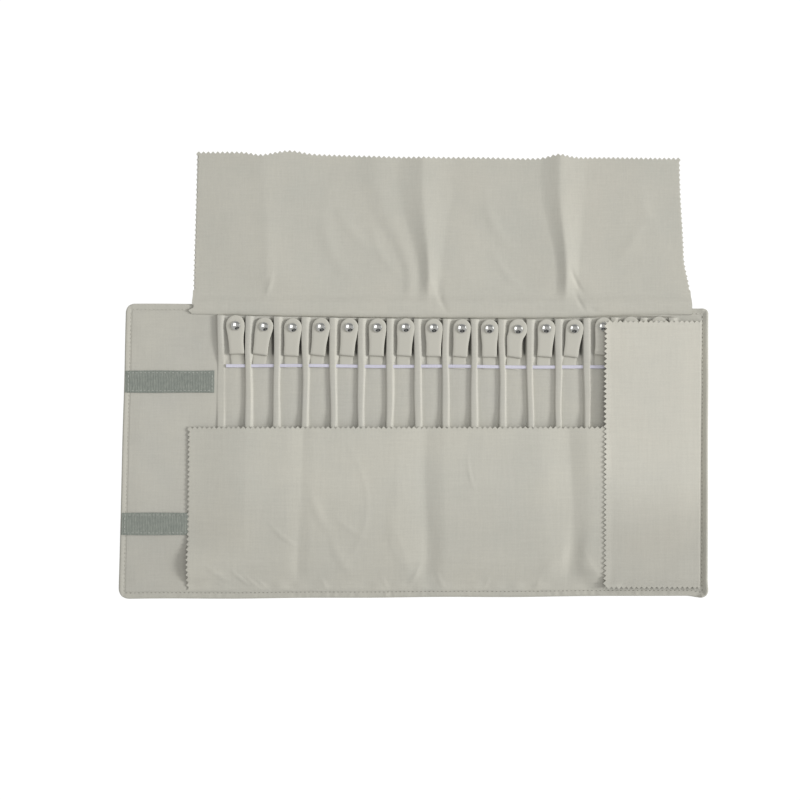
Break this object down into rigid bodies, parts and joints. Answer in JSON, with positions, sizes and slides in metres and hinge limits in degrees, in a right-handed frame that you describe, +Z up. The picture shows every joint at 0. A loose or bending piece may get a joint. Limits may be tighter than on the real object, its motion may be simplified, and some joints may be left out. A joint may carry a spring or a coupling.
{
  "type": "jewelry roll",
  "caption": "Padded fabric roll, laid open, with necklace lanes between raised dividers, snap straps, a holding elastic, pinked fold-in flaps and a tab that closes it.",
  "frame": {"origin": "centre of the padded body's underside, on the table", "axes": "+X along the row of lanes towards the right flap, +Y towards the top flap, +Z up from the table"},
  "size_m": [0.58, 0.442, 0.0112],
  "materials": {
    "cover_cloth": "smooth woven, warm grey",
    "lining_cloth": "smooth woven, warm grey",
    "flap_cloth": "smooth woven, pinked edges",
    "pad_foam": "thin soft wadding",
    "strap_hide": "smooth matte, warm grey",
    "elastic_web": "narrow white elastic",
    "snap_metal": "polished nickel",
    "loop_tape": "brushed loop pile, grey-green",
    "hook_tape": "hook tape, grey-green"
  },
  "bodies": {
    "panel_a": {"outer_cover_a": "cover_cloth", "padding_a": "pad_foam", "lining_a": "lining_cloth", "elastic_a": "elastic_web", "loop_tape_upper": "loop_tape", "loop_tape_lower": "loop_tape"},
    "panel_b": {"outer_cover_b": "cover_cloth", "padding_b": "pad_foam", "lining_b": "lining_cloth", "elastic_b": "elastic_web"},
    "panel_c": {"outer_cover_c": "cover_cloth", "padding_c": "pad_foam", "lining_c": "lining_cloth", "elastic_c": "elastic_web", "hook_tape_upper": "hook_tape", "hook_tape_lower": "hook_tape"},
    "panel_d": {"outer_cover_d": "cover_cloth", "padding_d": "pad_foam", "lining_d": "lining_cloth", "elastic_d": "elastic_web", "snap_cap_14": "snap_metal", "snap_cap_15": "snap_metal", "snap_cap_16": "snap_metal"},
    "top_flap_a": {"top_flap_a": "flap_cloth"},
    "bottom_flap_a": {"bottom_flap_a": "flap_cloth"},
    "top_flap_b": {"top_flap_b": "flap_cloth"},
    "bottom_flap_b": {"bottom_flap_b": "flap_cloth"},
    "top_flap_c": {"top_flap_c": "flap_cloth"},
    "bottom_flap_c": {"bottom_flap_c": "flap_cloth"},
    "top_flap_d": {"top_flap_d": "flap_cloth"},
    "bottom_flap_d": {"bottom_flap_d": "flap_cloth"},
    "right_flap": {"right_flap": "flap_cloth"},
    "strap_01": {"snap_strap_01": "strap_hide", "snap_cap_01": "snap_metal"},
    "strap_02": {"snap_strap_02": "strap_hide", "snap_cap_02": "snap_metal"},
    "strap_03": {"snap_strap_03": "strap_hide", "snap_cap_03": "snap_metal"},
    "strap_04": {"snap_strap_04": "strap_hide", "snap_cap_04": "snap_metal"},
    "strap_05": {"snap_strap_05": "strap_hide", "snap_cap_05": "snap_metal"},
    "strap_06": {"snap_strap_06": "strap_hide", "snap_cap_06": "snap_metal"},
    "strap_07": {"snap_strap_07": "strap_hide", "snap_cap_07": "snap_metal"},
    "strap_08": {"snap_strap_08": "strap_hide", "snap_cap_08": "snap_metal"},
    "strap_09": {"snap_strap_09": "strap_hide", "snap_cap_09": "snap_metal"},
    "strap_10": {"snap_strap_10": "strap_hide", "snap_cap_10": "snap_metal"},
    "strap_11": {"snap_strap_11": "strap_hide", "snap_cap_11": "snap_metal"},
    "strap_12": {"snap_strap_12": "strap_hide", "snap_cap_12": "snap_metal"},
    "strap_13": {"snap_strap_13": "strap_hide", "snap_cap_13": "snap_metal"}
  },
  "joints": [
    {"name": "fold_ab", "type": "hinge", "parent": "panel_b", "child": "panel_a", "pos_m": [-0.134, 0, 0.0292], "axis": [0, 1, 0], "range_deg": [0, 179.5]},
    {"name": "fold_bc", "type": "hinge", "parent": "panel_b", "child": "panel_c", "pos_m": [0.006, 0, 0.0215], "axis": [0, -1, 0], "range_deg": [0, 179.5]},
    {"name": "fold_cd", "type": "hinge", "parent": "panel_c", "child": "panel_d", "pos_m": [0.146, 0, 0.0138], "axis": [0, -1, 0], "range_deg": [0, 179.5]},
    {"name": "top_flap_turn_b", "type": "hinge", "parent": "panel_b", "child": "top_flap_b", "pos_m": [-0.064, 0.14, 0.0062], "axis": [1, 0, 0], "range_deg": [0, 179.5]},
    {"name": "top_flap_turn_a", "type": "hinge", "parent": "panel_a", "child": "top_flap_a", "pos_m": [-0.17, 0.14, 0.0062], "axis": [1, 0, 0], "range_deg": [0, 179.5]},
    {"name": "top_flap_turn_c", "type": "hinge", "parent": "panel_c", "child": "top_flap_c", "pos_m": [0.076, 0.14, 0.0062], "axis": [1, 0, 0], "range_deg": [0, 179.5]},
    {"name": "top_flap_turn_d", "type": "hinge", "parent": "panel_d", "child": "top_flap_d", "pos_m": [0.17, 0.14, 0.0062], "axis": [1, 0, 0], "range_deg": [0, 179.5]},
    {"name": "bottom_flap_turn_b", "type": "hinge", "parent": "panel_b", "child": "bottom_flap_b", "pos_m": [-0.064, -0.141, 0.0048], "axis": [-1, 0, 0], "range_deg": [-179.5, 0]},
    {"name": "bottom_flap_turn_a", "type": "hinge", "parent": "panel_a", "child": "bottom_flap_a", "pos_m": [-0.17, -0.141, 0.0048], "axis": [-1, 0, 0], "range_deg": [-179.5, 0]},
    {"name": "bottom_flap_turn_c", "type": "hinge", "parent": "panel_c", "child": "bottom_flap_c", "pos_m": [0.076, -0.141, 0.0048], "axis": [-1, 0, 0], "range_deg": [-179.5, 0]},
    {"name": "bottom_flap_turn_d", "type": "hinge", "parent": "panel_d", "child": "bottom_flap_d", "pos_m": [0.17, -0.141, 0.0048], "axis": [-1, 0, 0], "range_deg": [-179.5, 0]},
    {"name": "right_flap_turn", "type": "hinge", "parent": "panel_d", "child": "right_flap", "pos_m": [0.284, 0, 0.00575], "axis": [0, -1, 0], "range_deg": [-179.5, 0]},
    {"name": "strap_turn_01", "type": "hinge", "parent": "panel_a", "child": "strap_01", "pos_m": [-0.18, 0.095, 0.0059], "axis": [-1, 0, 0], "range_deg": [-170, 0]},
    {"name": "strap_turn_02", "type": "hinge", "parent": "panel_a", "child": "strap_02", "pos_m": [-0.152, 0.095, 0.0059], "axis": [-1, 0, 0], "range_deg": [-170, 0]},
    {"name": "strap_turn_03", "type": "hinge", "parent": "panel_b", "child": "strap_03", "pos_m": [-0.124, 0.095, 0.0059], "axis": [-1, 0, 0], "range_deg": [-170, 0]},
    {"name": "strap_turn_04", "type": "hinge", "parent": "panel_b", "child": "strap_04", "pos_m": [-0.096, 0.095, 0.0059], "axis": [-1, 0, 0], "range_deg": [-170, 0]},
    {"name": "strap_turn_05", "type": "hinge", "parent": "panel_b", "child": "strap_05", "pos_m": [-0.068, 0.095, 0.0059], "axis": [-1, 0, 0], "range_deg": [-170, 0]},
    {"name": "strap_turn_06", "type": "hinge", "parent": "panel_b", "child": "strap_06", "pos_m": [-0.04, 0.095, 0.0059], "axis": [-1, 0, 0], "range_deg": [-170, 0]},
    {"name": "strap_turn_07", "type": "hinge", "parent": "panel_b", "child": "strap_07", "pos_m": [-0.012, 0.095, 0.0059], "axis": [-1, 0, 0], "range_deg": [-170, 0]},
    {"name": "strap_turn_08", "type": "hinge", "parent": "panel_c", "child": "strap_08", "pos_m": [0.016, 0.095, 0.0059], "axis": [-1, 0, 0], "range_deg": [-170, 0]},
    {"name": "strap_turn_09", "type": "hinge", "parent": "panel_c", "child": "strap_09", "pos_m": [0.044, 0.095, 0.0059], "axis": [-1, 0, 0], "range_deg": [-170, 0]},
    {"name": "strap_turn_10", "type": "hinge", "parent": "panel_c", "child": "strap_10", "pos_m": [0.072, 0.095, 0.0059], "axis": [-1, 0, 0], "range_deg": [-170, 0]},
    {"name": "strap_turn_11", "type": "hinge", "parent": "panel_c", "child": "strap_11", "pos_m": [0.1, 0.095, 0.0059], "axis": [-1, 0, 0], "range_deg": [-170, 0]},
    {"name": "strap_turn_12", "type": "hinge", "parent": "panel_c", "child": "strap_12", "pos_m": [0.128, 0.095, 0.0059], "axis": [-1, 0, 0], "range_deg": [-170, 0]},
    {"name": "strap_turn_13", "type": "hinge", "parent": "panel_d", "child": "strap_13", "pos_m": [0.156, 0.095, 0.0059], "axis": [-1, 0, 0], "range_deg": [-170, 0]}
  ],
  "couplings": [
    {"joint": "top_flap_turn_a", "follows": "top_flap_turn_b", "ratio": 1},
    {"joint": "top_flap_turn_c", "follows": "top_flap_turn_b", "ratio": 1},
    {"joint": "top_flap_turn_d", "follows": "top_flap_turn_b", "ratio": 1},
    {"joint": "bottom_flap_turn_a", "follows": "bottom_flap_turn_b", "ratio": 1},
    {"joint": "bottom_flap_turn_c", "follows": "bottom_flap_turn_b", "ratio": 1},
    {"joint": "bottom_flap_turn_d", "follows": "bottom_flap_turn_b", "ratio": 1}
  ]
}
